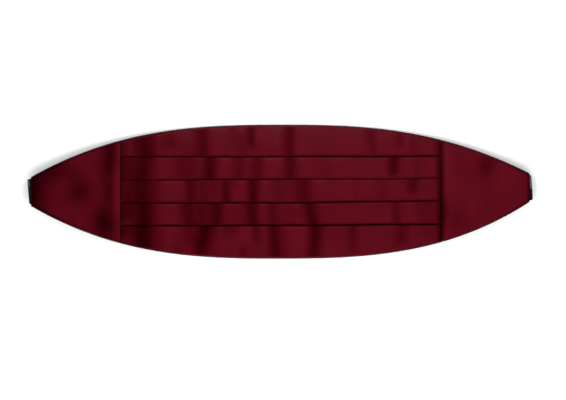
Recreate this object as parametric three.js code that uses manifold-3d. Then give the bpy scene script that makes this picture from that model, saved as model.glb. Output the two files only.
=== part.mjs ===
// A formal cummerbund lying face up on a flat surface. Sizes are in millimetres.
// X runs along the band, +Y is the edge that is worn uppermost, +Z points up off the surface.
//
// The maker's pieces: a pleated middle and two plain side panels make the satin front, a back panel
// carries them, and a black elastic strap is sewn into each end. Both straps are folded under the band.
// One ends in a hook and the other in an eye, which meet behind the waist. The folded straps lift the
// two ends, so the band rests on the middle of its back and on the straps.
import * as THREE from "three";
import Module from "manifold-3d";

// Outline of the band
const clothHalfLength = 248.2;
const middleDepth = 134;
const endDepth = 29;
const outlinePower = 2.75; // the long edges stay nearly straight over the pleats, then sweep in
const seamFromMiddle = 159.5; // where a side panel joins the pleated middle
const sweepPower = 5; // the middle line of the band curves up towards its ends

// Cloth
const wall = 1; // satin with its fused interlining
const seamGap = 0.3;
const backMargin = 0.6; // the back shows past the satin by this much all along both edges
const endMargin = 0.8; // and by this much at both ends
const rimRadius = 1.4; // the satin rolls down to the back along both long edges
const rimRise = 0.5;
const rimSteps = 4;

// Pleats: knife pleats that open towards the upper edge
const pleatCount = 4;
const pleatPitch = 22.8;
const firstFold = 34.8; // the uppermost fold, from the middle line
const pleatUnderlap = 11;
const layerPitch = wall + 0.35; // from one folded layer to the next
const foldRadius = 1.1; // the visible fold is a soft roll, not a pressed edge
const pressedFoldRadius = layerPitch / 2; // except where a seam flattens it
const foldedEnd = 9; // how far a seam's flattening reaches
const turnSteps = 4;
const faceSteps = 4;
const dipBeforeFold = 1.2; // a face is fully down this far before the next fold covers it

// Side panels: height of the satin's mid-thickness over its lowest level, by distance from the seam
const panelProfile = [
  { fromSeam: 0, height: 1.9 },
  { fromSeam: 4, height: 3.4 },
  { fromSeam: 10, height: 3 },
  { fromSeam: 24, height: 2.1 },
  { fromSeam: 100, height: 2 },
];
const panelFaceSteps = 10;
const panelCrowding = 1.5; // sections stand closer together towards the seam
const panelSections = 13;
const pleatedSections = 14;
const backSections = 30;

// The bow: flat over the middle, then rising to each end
const restHalfLength = 60;
const bowPower = 1.6;
const ends = [
  { side: "left", outward: -1, lift: 14, sweep: 0.5, strapSkew: 4.5, barFromEnd: 76 },
  { side: "right", outward: 1, lift: 10, sweep: 3.6, strapSkew: 4, barFromEnd: 80 },
];

// Straps
const strapReach = 3.7; // from the end of the cloth to the furthest corner of the fold
const strapWidth = 25.4;
const strapSewnIn = 12;
const strapTurnRadius = 1.5;
const strapLanding = 40; // how far in from the end the folded strap reaches the surface
const strapTail = 15; // the strap's own end, turned back over the closure's bar
const strapTailDrop = 5;

// Closure: each half is a stamped frame on its strap, with a hooked tongue or an eyelet
const plate = 1;
const frameBar = 2.6;
const slotDepth = 3.4;
const frameWidth = 33;
const frameSlot = strapWidth + 1;
const frameCorner = 1.6;
const eyeletWidth = 20;
const eyeletSlot = 14;
const tongueWidth = 11;
const tongueLength = 6;
const tongueReturn = 4;
const tonguePlate = 0.8;
const tongueGap = 1.1;

const satin = new THREE.MeshStandardMaterial({ color: 0x5a0e1c, roughness: 0.42, metalness: 0 });
const backCloth = new THREE.MeshStandardMaterial({ color: 0x141214, roughness: 0.75, metalness: 0 });
const elastic = new THREE.MeshStandardMaterial({ color: 0x0e0d0e, roughness: 0.8, metalness: 0 });
const closureMetal = new THREE.MeshStandardMaterial({ color: 0x3a3a3e, roughness: 0.35, metalness: 1 });

const satinBase = wall + seamGap; // the lowest level that the satin reaches
const onSurface = wall / 2; // mid-thickness of cloth that lies on the surface
const barMiddle = wall + seamGap + plate / 2;
const { lerp, smoothstep, degToRad } = THREE.MathUtils;
const wasm = await Module();
wasm.setup();

// Half the band's depth at a place along it
function halfDepth(x) {
  const taper = (middleDepth - endDepth) / 2;
  return middleDepth / 2 - taper * Math.abs(x / clothHalfLength) ** outlinePower;
}

function endNear(x) {
  return ends.find(({ outward }) => outward * x >= 0);
}

// The middle line of the band at a place along it
function middleLine(x) {
  return endNear(x).sweep * Math.abs(x / clothHalfLength) ** sweepPower;
}

// How far the band is lifted off the surface at a place along it
function lift(x) {
  const risen = Math.max(0, Math.abs(x) - restHalfLength) / (clothHalfLength - restHalfLength);
  return endNear(x).lift * risen ** bowPower;
}

function ease(share) {
  return (1 - Math.cos(Math.PI * share)) / 2;
}

function spread(from, to, count) {
  return Array.from({ length: count }, (_, i) => lerp(from, to, i / (count - 1)));
}

// Points on an arc in a section, angles in degrees from +Y towards +Z
function arc(y, z, radius, from, to, steps) {
  return spread(from, to, steps + 1).map((angle) => ({
    y: y + radius * Math.cos(degToRad(angle)),
    z: z + radius * Math.sin(degToRad(angle)),
  }));
}

// Points from one place to another along an S-curve, without the first
function slope(from, to, steps) {
  const shares = spread(0, 1, steps + 1).slice(1);
  return shares.map((share) => ({ y: lerp(from.y, to.y, share), z: lerp(from.z, to.z, ease(share)) }));
}

// The roll along the upper edge, from the back up to the face
function upperRim(edge) {
  const y = edge - wall / 2;
  return [{ y, z: 0 }, ...arc(y - rimRadius, rimRise, rimRadius, 0, 90, rimSteps)];
}

function lowerRim(edge) {
  return upperRim(edge)
    .reverse()
    .map((p) => ({ y: -p.y, z: p.z }));
}

// The pleated cloth's mid-thickness across the band, from its upper edge to its lower edge
function pleatedLine(x) {
  const edge = halfDepth(x) - backMargin;
  const softness = smoothstep(seamFromMiddle - Math.abs(x), 0, foldedEnd);
  const roll = lerp(pressedFoldRadius, foldRadius, softness);
  const under = wall / 2;
  const turnedBack = under + layerPitch;
  const line = upperRim(edge);
  for (let k = 0; k < pleatCount; k++) {
    const fold = firstFold - k * pleatPitch;
    const innerFold = fold - pleatUnderlap;
    line.push(...slope(line.at(-1), { y: fold + dipBeforeFold, z: under }, faceSteps));
    line.push(...arc(innerFold, under + layerPitch / 2, layerPitch / 2, 270, 90, turnSteps));
    line.push(...arc(fold - wall / 2 - roll, turnedBack + roll, roll, -90, 90, turnSteps));
    line.push({ y: innerFold, z: turnedBack + layerPitch });
  }
  const rim = lowerRim(edge);
  line.push(...slope(line.at(-1), rim[0], faceSteps), ...rim.slice(1));
  return line;
}

function panelHeight(fromSeam) {
  const next = Math.max(1, panelProfile.findIndex((row) => row.fromSeam >= fromSeam));
  const [a, b] = panelProfile.slice(next - 1, next + 1);
  return lerp(a.height, b.height, ease((fromSeam - a.fromSeam) / (b.fromSeam - a.fromSeam)));
}

// A plain side panel's mid-thickness across the band
function panelLine(x) {
  const edge = halfDepth(x) - backMargin;
  const height = panelHeight(Math.abs(x) - seamFromMiddle);
  const rim = upperRim(edge);
  const crown = rim.at(-1);
  const face = spread(crown.y, -crown.y, panelFaceSteps + 1).map((y) => {
    const inside = 1 - Math.abs(y / crown.y) ** 4;
    return { y, z: lerp(crown.z, height, inside) };
  });
  return [...rim.slice(0, -1), ...face, ...lowerRim(edge).slice(1)];
}

// Both faces of a sheet around its mid-thickness line
function thicken(line, thickness) {
  const offset = (direction) =>
    line.map((p, i) => {
      const before = line[Math.max(0, i - 1)];
      const after = line[Math.min(line.length - 1, i + 1)];
      const along = new THREE.Vector2(after.y - before.y, after.z - before.z).setLength(thickness / 2);
      return { y: p.y + direction * along.y, z: p.z - direction * along.x };
    });
  return { outer: offset(1), inner: offset(-1) };
}

// A closed wall through sections, each a row of outer points and a row of inner points
function wallThrough(sections) {
  const count = sections[0].outer.length;
  const last = count - 1;
  const end = sections.length - 1;
  const points = sections.flatMap(({ outer, inner }) => [...outer, ...inner]);
  const index = [];
  const outer = (s, i) => s * 2 * count + i;
  const inner = (s, i) => outer(s, i) + count;
  const quad = (a, b, c, d) => index.push(a, b, c, a, c, d);
  for (let s = 0; s < end; s++) {
    for (let i = 0; i < last; i++) {
      quad(outer(s, i), outer(s, i + 1), outer(s + 1, i + 1), outer(s + 1, i));
      quad(inner(s, i), inner(s + 1, i), inner(s + 1, i + 1), inner(s, i + 1));
    }
    quad(outer(s, 0), outer(s + 1, 0), inner(s + 1, 0), inner(s, 0));
    quad(outer(s, last), inner(s, last), inner(s + 1, last), outer(s + 1, last));
  }
  for (let i = 0; i < last; i++) {
    quad(outer(0, i), inner(0, i), inner(0, i + 1), outer(0, i + 1));
    quad(outer(end, i), outer(end, i + 1), inner(end, i + 1), inner(end, i));
  }
  return new THREE.BufferGeometry().setFromPoints(points).setIndex(index);
}

// A wall swept along the band, from the two faces that it has at each place
function sweptAlong(places, facesAt) {
  return wallThrough(
    places.map((x) => {
      const placed = (p) => new THREE.Vector3(x, p.y + middleLine(x), p.z + lift(x));
      const { outer, inner } = facesAt(x);
      return { outer: outer.map(placed), inner: inner.map(placed) };
    }),
  );
}

function satinFaces(line) {
  const raised = line.map((p) => ({ y: p.y, z: p.z + satinBase }));
  return thicken(raised, wall);
}

function pleatedMiddle() {
  const seam = seamFromMiddle - seamGap / 2;
  const flattened = spread(seam, seam - foldedEnd, 3);
  const soft = spread(foldedEnd - seam, seam - foldedEnd, pleatedSections).slice(1, -1);
  const places = [...flattened.map((x) => -x), ...soft, ...flattened.reverse()];
  return sweptAlong(places, (x) => satinFaces(pleatedLine(x)));
}

function sidePanel({ outward }) {
  const seam = seamFromMiddle + seamGap / 2;
  const shares = spread(0, 1, panelSections).map((share) => share ** panelCrowding);
  const places = shares.map((share) => outward * lerp(seam, clothHalfLength - endMargin, share));
  return sweptAlong(outward > 0 ? places : places.reverse(), (x) => satinFaces(panelLine(x)));
}

function backPanel() {
  return sweptAlong(spread(-clothHalfLength, clothHalfLength, backSections), (x) => {
    const level = (z) => [halfDepth(x), -halfDepth(x)].map((y) => ({ y, z }));
    return { outer: level(wall), inner: level(0) };
  });
}

// A strap's mid-thickness seen from its side: y runs inward from the end of the cloth, z is up
function strapLine({ outward, lift: endLift, strapSkew, barFromEnd }) {
  const skew = degToRad(strapSkew);
  const reach = (strapReach - (strapWidth / 2) * Math.sin(skew)) / Math.cos(skew);
  const turnAt = strapTurnRadius + wall / 2 - reach;
  const between = satinBase + wall / 2; // in the end's seam, between the back and the satin
  const sewnIn = spread(strapSewnIn, 0, 4).map((y) => ({
    y,
    z: lift(outward * (clothHalfLength - y)) + between,
  }));
  const turn = arc(turnAt, endLift + between - strapTurnRadius, strapTurnRadius, 90, 270, 6);
  const loopAt = barFromEnd + frameBar;
  const loop = arc(loopAt, barMiddle, barMiddle - onSurface, -90, 90, 6);
  const overBar = { y: barFromEnd, z: loop.at(-1).z };
  const tail = { y: barFromEnd - strapTailDrop, z: onSurface + layerPitch };
  return [
    ...sewnIn,
    ...turn,
    ...slope(turn.at(-1), { y: strapLanding, z: onSurface }, 10),
    ...loop,
    overBar,
    ...slope(overBar, tail, 4),
    { y: tail.y - strapTail, z: tail.z },
  ];
}

// A strip bent to a side profile, which runs inward along -X
function bentStrip(line, thickness, width) {
  const across = (p) => [width / 2, -width / 2].map((y) => new THREE.Vector3(-p.y, y, p.z));
  const { outer, inner } = thicken(line, thickness);
  return wallThrough(line.map((_, i) => ({ outer: across(outer[i]), inner: across(inner[i]) })));
}

// A path round a rectangle with round corners, which starts at a distance in from the end of the cloth
function roundedRectangle(path, fromEnd, depth, width, corner) {
  const [left, right, half] = [-fromEnd - depth, -fromEnd, width / 2];
  return path
    .absarc(right - corner, half - corner, corner, 0, Math.PI / 2)
    .absarc(left + corner, half - corner, corner, Math.PI / 2, Math.PI)
    .absarc(left + corner, corner - half, corner, Math.PI, 1.5 * Math.PI)
    .absarc(right - corner, corner - half, corner, 1.5 * Math.PI, 2 * Math.PI)
    .closePath();
}

// A flat stamped frame around one slot
function slottedFrame(fromEnd, width, slotWidth) {
  const outline = roundedRectangle(new THREE.Shape(), fromEnd, slotDepth + 2 * frameBar, width, frameCorner);
  outline.holes.push(
    roundedRectangle(new THREE.Path(), fromEnd + frameBar, slotDepth, slotWidth, frameCorner / 2),
  );
  const options = { depth: plate, curveSegments: 3, bevelEnabled: false };
  return new THREE.ExtrudeGeometry(outline, options).translate(0, 0, barMiddle - plate / 2);
}

function asSolid(geometry) {
  const vertProperties = (geometry.index ? geometry.toNonIndexed() : geometry).getAttribute("position").array;
  const triVerts = Uint32Array.from({ length: vertProperties.length / 3 }, (_, i) => i);
  const mesh = new wasm.Mesh({ numProp: 3, vertProperties, triVerts });
  mesh.merge();
  return new wasm.Manifold(mesh);
}

function joined(a, b) {
  const mesh = asSolid(a).add(asSolid(b)).getMesh();
  return new THREE.BufferGeometry()
    .setAttribute("position", new THREE.BufferAttribute(mesh.vertProperties, 3))
    .setIndex(new THREE.BufferAttribute(mesh.triVerts, 1));
}

// The hook: the tongue runs inward from the frame and turns back over itself
function hook({ barFromEnd }) {
  const root = barFromEnd + 1.5 * frameBar + slotDepth;
  const turnAt = root + tongueLength;
  const radius = (tongueGap + tonguePlate) / 2;
  const turn = arc(turnAt, barMiddle + radius, radius, -90, 90, 6);
  const tip = { y: turnAt - tongueReturn, z: barMiddle + 2 * radius };
  const tongue = bentStrip([{ y: root, z: barMiddle }, ...turn, tip], tonguePlate, tongueWidth);
  return joined(slottedFrame(barFromEnd, frameWidth, frameSlot), tongue);
}

function eye({ barFromEnd }) {
  const eyeletFromEnd = barFromEnd + frameBar + slotDepth;
  return joined(
    slottedFrame(barFromEnd, frameWidth, frameSlot),
    slottedFrame(eyeletFromEnd, eyeletWidth, eyeletSlot),
  );
}

function named(name, geometry, material) {
  const mesh = new THREE.Mesh(geometry, material);
  mesh.name = name;
  return mesh;
}

// A strap with its half of the closure, placed at its end of the band
function endFittings(end) {
  const { side, outward, sweep, strapSkew } = end;
  const group = new THREE.Group();
  const closure = outward < 0 ? named("hook", hook(end), closureMetal) : named("eye", eye(end), closureMetal);
  group.add(named(`strap_${side}`, bentStrip(strapLine(end), wall, strapWidth), elastic), closure);
  group.position.set(outward * clothHalfLength, sweep, 0);
  group.rotation.z = degToRad(strapSkew) + (outward < 0 ? Math.PI : 0);
  return group;
}

const cummerbund = new THREE.Group();
cummerbund.add(
  named("back", backPanel(), backCloth),
  named("pleated_front", pleatedMiddle(), satin),
  ...ends.map((end) => named(`side_${end.side}`, sidePanel(end), satin)),
  ...ends.map(endFittings),
);

export default cummerbund;
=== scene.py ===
"""Looks of a formal satin cummerbund that lies face up, laid out as a Blender add-on and run as a script.

Everything is in metres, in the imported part's own frame: X along the band, +Y towards the edge that is worn
uppermost, +Z up off the surface. Each cloth piece is a thin shell on the form of the solid that it replaces.
"""

import math
from collections import namedtuple

import bmesh
import bpy
import numpy as np
from bpy.props import FloatProperty, FloatVectorProperty, IntProperty, PointerProperty
from mathutils import Matrix, Vector


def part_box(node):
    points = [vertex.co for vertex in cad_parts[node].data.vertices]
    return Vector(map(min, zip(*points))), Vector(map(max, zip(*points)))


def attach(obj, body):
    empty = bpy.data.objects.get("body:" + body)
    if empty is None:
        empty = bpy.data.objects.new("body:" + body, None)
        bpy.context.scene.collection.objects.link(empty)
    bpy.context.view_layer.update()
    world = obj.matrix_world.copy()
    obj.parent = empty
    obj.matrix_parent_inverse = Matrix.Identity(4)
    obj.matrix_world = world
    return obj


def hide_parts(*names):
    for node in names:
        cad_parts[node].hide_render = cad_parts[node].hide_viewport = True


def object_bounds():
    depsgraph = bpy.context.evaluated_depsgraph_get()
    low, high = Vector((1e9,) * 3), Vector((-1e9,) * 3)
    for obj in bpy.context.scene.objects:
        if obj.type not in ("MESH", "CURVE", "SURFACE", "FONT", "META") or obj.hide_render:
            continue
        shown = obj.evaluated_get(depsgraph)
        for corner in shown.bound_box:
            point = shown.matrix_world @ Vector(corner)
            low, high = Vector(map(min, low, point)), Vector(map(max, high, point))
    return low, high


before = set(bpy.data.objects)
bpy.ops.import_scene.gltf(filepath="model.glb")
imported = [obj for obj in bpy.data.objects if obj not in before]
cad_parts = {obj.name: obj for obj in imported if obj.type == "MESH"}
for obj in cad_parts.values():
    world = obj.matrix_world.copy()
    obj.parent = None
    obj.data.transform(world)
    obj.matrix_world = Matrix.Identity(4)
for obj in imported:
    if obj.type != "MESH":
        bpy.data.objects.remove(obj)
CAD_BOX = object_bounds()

bl_info = {
    "name": "Satin Cummerbund",
    "version": (1, 0, 0),
    "blender": (4, 5, 0),
    "location": "View3D > Sidebar > Cummerbund",
    "description": "Makes a pleated satin cummerbund with folded elastic straps",
    "category": "Add Mesh",
}

MM = 0.001
BODY = "root"

# ---------------------------------------------------------------- sizes that the solids share with the cloth

BACK_TOP_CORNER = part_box("back")[1]
PLEATS_TOP_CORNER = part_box("pleated_front")[1]
CLOTH_HALF_LENGTH = BACK_TOP_CORNER[0]
MIDDLE_HALF_DEPTH = BACK_TOP_CORNER[1]
PLEATS_END = PLEATS_TOP_CORNER[0]
PANEL_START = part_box("side_right")[0][0]
PANEL_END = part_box("side_right")[1][0]
STRAP_REACH = CAD_BOX[1][0] - CLOTH_HALF_LENGTH
END_HALF_DEPTH = 14.5 * MM
OUTLINE_POWER = 2.75
SWEEP_POWER = 5
BACK_MARGIN = 0.6 * MM
BACK_WALL = 0.7 * MM
SATIN_BASE = 1.3 * MM  # the lowest level that the satin reaches over the underside of the back
REST_HALF_LENGTH = 60 * MM
BOW_POWER = 1.6

# Each end of the band: which way it points, how far it is lifted and swept up, and how its strap lies.
# The strap has a painted highlight along its fold between two shares of the way up across it. `overhang` is
# how much further than its solid the satin reaches over the strap, and `shade` is the painted shade on the
# satin there.
End = namedtuple("End", "side outward lift sweep skew bar_from_end worn_from worn_to overhang shade")
ENDS = (
    End("left", -1, 14 * MM, 0.5 * MM, math.radians(4.5), 76 * MM, 0.72, 0.92, 0.0, 0.35),
    End("right", 1, 10 * MM, 3.6 * MM, math.radians(4.0), 80 * MM, 0.45, 0.97, 0.9 * MM, 1.15),
)

PLEAT_COUNT = 4
PLEAT_PITCH = 22.8 * MM
FIRST_FOLD = 34.8 * MM
RIM_RADIUS = 1.4 * MM
RIM_RISE = 0.9 * MM
FACE_BOW = 1.6  # a pleat's face stays high over the fold behind it, then falls
SEAM_ZONE = 8 * MM  # the pleats' sections lie closer together this near a seam

STRAP_WIDTH = 25.4 * MM
STRAP_WALL = 1 * MM
STRAP_SEWN_IN = 12 * MM
STRAP_TURN_RADIUS = 1.5 * MM
STRAP_LANDING = 40 * MM
STRAP_TAIL = 15 * MM
STRAP_TAIL_DROP = 5 * MM
STRAP_LAYER = 1.35 * MM
FRAME_BAR = 2.6 * MM
BAR_MIDDLE = 1.8 * MM
STITCH_MARGIN = 3 * MM
STITCH_LEVELS = (0.18 * MM, STRAP_WALL + STRAP_LAYER - 0.06 * MM)
PLATE_EDGE = 0.18 * MM  # how far the closure's stamped edges are rounded

# ---------------------------------------------------------------- creases, in millimetres

# Soft vertical troughs, listed band by band from the uppermost one down. `at` is the place along the band,
# `lean` is the drift from top to bottom, and `top` and `bottom` are shares of the way down the band's face.
# Most troughs run past the face at both. Each trough's depth also sets how much painted shade lies in it.
Pucker = namedtuple("Pucker", "at width depth lean top bottom", defaults=(0, -0.2, 1.2))
PUCKERS = tuple(tuple(Pucker(*row) for row in band) for band in (
    (
        (-155, 5, 0.35, 0, 0.1, 0.9),
        (-136, 21, 0.85, 3),
        (-110, 13, 0.40, 3, 0.0, 0.7),
        (-94, 18, 0.17, 0, 0.5),
        (-78, 14, 0.62, 2),
        (-48, 8, 0.22, 0, -0.2, 0.7),
        (-38, 9, 0.25, 0, 0.2),
        (-29, 8, 0.60, 1, -0.2, 0.7),
        (-20, 22, 0.15, 0, 0.6),
        (9, 11, 0.60, -1),
        (92, 9, 0.35, 5, 0.0),
        (120, 8, 0.30, -2, -0.2, 0.6),
        (133, 6, 0.25, 0, 0.2, 1.0),
    ),
    (
        (-153, 14, 0.45),
        (-137, 20, 0.85, -3),
        (-95, 25, 0.42, 2),
        (-70, 12, 0.78),
        (-42, 12, 0.45),
        (-23, 12, 0.50, 1),
        (10, 12, 0.62),
        (40, 22, 0.12),
        (113, 10, 0.75, -2, -0.2, 0.8),
        (137, 8, 0.15, 0, 0.2),
    ),
    (
        (-153, 5, 0.30, 0, 0.4),
        (-139, 28, 0.90, 2),
        (-90, 12, 0.62),
        (-76, 13, 0.38),
        (-66, 8, 0.30, 1, -0.2, 0.9),
        (-54, 9, 0.70, 1),
        (-45, 8, 0.25, 0, -0.2, 0.4),
        (-27, 11, 0.78),
        (0, 16, 0.25),
        (25, 14, 0.58, 2),
        (15, 10, 0.20),
        (103, 15, 0.15),
        (132, 10, 0.60, -2, -0.2, 0.6),
    ),
    (
        (-153, 12, 0.50, 0, -0.2, 0.8),
        (-136, 21, 1.00),
        (-92, 15, 0.65, 2),
        (-78, 13, 0.50),
        (-64, 12, 0.80),
        (-45, 20, 0.22),
        (-28, 12, 0.72, 1),
        (-7, 10, 0.42, 1),
        (8, 20, 0.25),
        (31, 13, 0.78, 4),
        (62, 34, 0.14),
        (116, 8, 0.45, 2),
        (146, 17, 0.28),
    ),
    (
        (-155, 13, 0.32, 0, -0.2, 0.7),
        (-137, 24, 1.05),
        (-102, 12, 0.32, 0, 0.75),
        (-92, 16, 0.45, 0, -0.2, 0.7),
        (-78, 14, 0.85, -5),
        (-68, 13, 0.25),
        (-50, 16, 0.40, 0, -0.2, 0.3),
        (-37, 7, 0.50, 0, 0.6, 1.1),
        (-24, 8, 0.40, 0, -0.2, 0.5),
        (-6, 12, 0.70, 2),
        (4, 9, 0.20),
        (34, 12, 0.80, -2),
        (55, 36, 0.16, 0, -0.2, 0.4),
        (73, 9, 0.35, 0, -0.2, 0.9),
        (121, 12, 0.52, -3, -0.2, 0.8),
        (146, 16, 0.25, 0, -0.2, 0.5),
    ),
))

# The same for the back panel's soft creases, which start and end at a share of the band's whole depth
BACK_CREASES = tuple(Pucker(*row) for row in (
    (-205, 12, 0.30, 9, 0.2, 0.9),
    (-171, 9, 0.35, -7, 0.3, 0.8),
    (-137, 16, 0.45, 6, 0.1, 1.0),
    (-92, 11, 0.35, -5, 0.2, 0.7),
    (-66, 9, 0.40, 4, 0.4, 0.9),
    (-27, 12, 0.40, 8, 0.1, 0.8),
    (6, 10, 0.35, -3, 0.1, 0.6),
    (33, 11, 0.45, -6, 0.4, 1.0),
    (84, 14, 0.30, 10, 0.2, 0.7),
    (115, 9, 0.35, 3, 0.3, 0.9),
    (158, 12, 0.35, -8, 0.2, 0.8),
    (203, 10, 0.30, 6, 0.3, 0.9),
))

# Each fold: the radius of its roll, the painted shade under it, its rise over 100 mm of length, and its sag.
# It gapes and sags a little more around one place, and its painted shade is only `faint` times as dark far
# from there.
Fold = namedtuple("Fold", "roll shade rise sag gapes_at half_length faint")
FOLDS = (
    Fold(0.9, 0.9, -0.1, 0.4, 90, 90, 0.8),
    Fold(0.8, 0.8, 0.3, 0.1, -60, 70, 0.55),
    Fold(0.9, 0.95, 0.5, 0.5, 30, 150, 0.8),
    Fold(1.05, 1.2, 0.3, 0.8, 40, 110, 0.85),
)
FOLD_GAPE = 0.18  # by how much more, in millimetres

# Shallow dents in the plain side panels: place, half sizes along and across, turn in degrees, depth. The
# depth also sets the painted shade in a dent.
Dent = namedtuple("Dent", "side at across half_length half_width turn depth")
DENTS = (
    Dent("left", -251, 0, 17, 30, 0, 1.02),
    Dent("left", -223, 20, 15, 10, 25, 0.56),
    Dent("left", -200, 1, 12, 12, -15, 0.62),
    Dent("left", -204, 18, 9, 6, 0, 0.2),
    Dent("left", -175, -31, 12, 17, 12, 0.8),
    Dent("left", -172, 29, 8.5, 22, -6, 0.58),
    Dent("left", -167, 46, 6, 24, 0, 0.3),
    Dent("left", -171, -2, 6.5, 14, 0, 0.42),
    Dent("right", 206, 25, 8, 12, -15, 0.6),
    Dent("right", 181, 24, 9, 14, 10, 0.12),
    Dent("right", 176, -28, 9, 12, 15, 0.25),
    Dent("right", 222, -9, 14, 7, 25, 0.1),
)

# Height of a side panel's satin over its lowest level, by distance from the seam, in millimetres
Crest = namedtuple("Crest", "from_seam height")
PANEL_CRESTS = {
    "left": (Crest(0, 2.6), Crest(1.2, 3.3), Crest(7, 3.2), Crest(10, 2.6), Crest(30, 2.4), Crest(100, 2.4)),
    "right": (Crest(0, 1.0), Crest(2, 1.3), Crest(7, 3.1), Crest(14, 3.0), Crest(40, 2.5), Crest(100, 2.4)),
}
LIP_LENGTH = 8.0  # the left panel's seam allowance is pressed under it as far as this
PRESSED_END = 1.65 * MM  # the height that the satin is sewn down to over each strap

# ---------------------------------------------------------------- painted shade and waves of the satin

# Painted shade beside the satin's long edges: how dark, and how far in from them it reaches, in millimetres:
# in the middle of the band by its two edges, then nearer the ends by its two sides, and what both tips add
Edge = namedtuple("Edge", "depth reach")
UPPER_EDGE = Edge(0.5, 0.6)
LOWER_EDGE = Edge(1.25, 1.0)
LEFT_EDGE = Edge(1.1, 1.5)
RIGHT_EDGE = Edge(0.85, 1.1)
TIP_EDGE = Edge(0.3, 0.9)
EDGE_CHANGES = (60 * MM, 150 * MM)
TIP_BEGINS = (195 * MM, 245 * MM)

# The same painted shade where the pleats go down into the seams
LEFT_VALLEY = Edge(0.74, 3.0)
RIGHT_VALLEY = Edge(0.85, 3.3)
VALLEY_POWER = 1.4

# Long, low waves between the creases: length in metres, phase in radians, height in millimetres
Wave = namedtuple("Wave", "length phase height")
SATIN_WAVES = (
    Wave(0.061, 0.9, 0.10),
    Wave(0.038, 2.1, 0.09),
    Wave(0.023, 4.4, 0.06),
    Wave(0.0143, 0.3, 0.035),
)
BAND_PHASE = 1.7  # by which the waves differ from band to band
# How the folds stray: here a wave's length is over one radian, and its phase is from fold to fold
FOLD_WAVES = (Wave(0.047, 2.3, 0.22), Wave(0.019, 5.1, 0.12))

CREASE_LIMIT = 3.5  # a crease ends this many half widths from its line
CREASE_TAPER = 0.25  # share of a band's face over which a crease comes or goes
BACK_CREASE_TAPER = 0.2
SHOULDER = 0.35  # the cloth rises beside a crease by this share of its depth
SHOULDER_AT = 1.9
# Painted shade in the creases: how much wider it is than a crease, and the most that creases give
SHADE_NARROWING = 0.85  # under 1, a crease's shade is wider than the crease
DARKEST_CREASE = 1.1

LAYER_PITCH = 1.22  # from one layer of a pleat to the next, in thicknesses of the satin
FACE_STOP = 0.3 * MM  # how far short of the next fold a pleat's face is down at its lowest
# Painted shade under the folds: how far it reaches above a fold, and where it lies round the roll
UNDER_FOLD = 1.6 * MM  # how far the shade under a fold reaches
FACE_EVENNESS = 0.8  # 0 spreads the points evenly down a face, 1 crowds them at its two ends
ROLL_STEPS = 9
ROLL_DARK = (3, 8)  # steps round a roll over which the shade under it fades
ROLL_HOLLOW = (3, 7)  # and over which the shade of the creases on its own band begins
ROLL_REST = 0.15  # share of a fold's shade that stays all over its roll

PANEL_ROWS = 56
CROWN_POWER = 6
END_PRESSED = 12 * MM  # length over which a side panel goes down to its sewn end
# Painted shade on the side panels: how far in from the sewn end it reaches, how dark the left panel is past
# its lip, how far and how dark at the right seam, and the most that a panel gets
END_SHADE_REACH = 2.2 * MM
LIP_SHADE = 0.22
RIGHT_SEAM_REACH = 3.5
RIGHT_SEAM_DEPTHS = (1.15, 0.8)  # low and high on the band
DARKEST_PANEL = 1.15
BACK_ROWS = 60

# ---------------------------------------------------------------- the band's form


def lerp(a, b, share):
    return a + (b - a) * share


def ease(share):
    return (1 - math.cos(math.pi * share)) / 2


def smoothstep(value, low, high):
    share = min(1.0, max(0.0, (value - low) / (high - low)))
    return share * share * (3 - 2 * share)


def hump(off):
    """A soft hump's height, 1 in the middle, at a distance from it in half widths."""
    return math.exp(-off * off)


def end_near(x):
    return ENDS[0] if x < 0 else ENDS[1]


def half_depth(x):
    """Half the band's depth at a place along it."""
    taper = MIDDLE_HALF_DEPTH - END_HALF_DEPTH
    return MIDDLE_HALF_DEPTH - taper * abs(x / CLOTH_HALF_LENGTH) ** OUTLINE_POWER


def middle_line(x):
    """Where the middle of the band's depth lies: it curves up a little towards both ends."""
    return end_near(x).sweep * abs(x / CLOTH_HALF_LENGTH) ** SWEEP_POWER


def lift(x):
    """How far the band is lifted off the surface, by the straps that are folded under its ends."""
    risen = max(0.0, abs(x) - REST_HALF_LENGTH) / (CLOTH_HALF_LENGTH - REST_HALF_LENGTH)
    return end_near(x).lift * risen**BOW_POWER


def arc(y, z, radius, start, stop, steps):
    """Points on an arc in a section, angles in degrees from +Y towards +Z."""
    angles = np.radians(np.linspace(start, stop, steps + 1))
    return [(y + radius * math.cos(a), z + radius * math.sin(a)) for a in angles]


def run(start, stop, steps, softness=0.0):
    """Points from one place to another, without the first. Softness 0 is straight, 1 an S-curve."""
    return [
        (lerp(start[0], stop[0], s), lerp(start[1], stop[1], lerp(s, ease(s), softness)))
        for s in np.linspace(0, 1, steps + 1)[1:]
    ]


def bowed_run(start, stop, steps):
    """Points down a pleat's face, without the first, closer together towards both ends."""
    shares = [lerp(s, ease(s), FACE_EVENNESS) for s in np.linspace(0, 1, steps + 1)[1:]]
    return [(lerp(start[0], stop[0], s), lerp(start[1], stop[1], s**FACE_BOW)) for s in shares]


def edge_shade(x, y):
    """Painted shade beside the satin's long edges, darkest towards the left end."""
    inward = max(0.0, half_depth(x) - BACK_MARGIN - abs(y)) / MM
    middle = UPPER_EDGE if y > 0 else LOWER_EDGE
    outer = LEFT_EDGE if x < 0 else RIGHT_EDGE
    near_end = smoothstep(abs(x), *EDGE_CHANGES)
    tip = smoothstep(abs(x), *TIP_BEGINS)
    depth = lerp(middle.depth, outer.depth, near_end) + TIP_EDGE.depth * tip
    reach = lerp(middle.reach, outer.reach, near_end) + TIP_EDGE.reach * tip
    return depth * hump(inward / reach)


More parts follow.
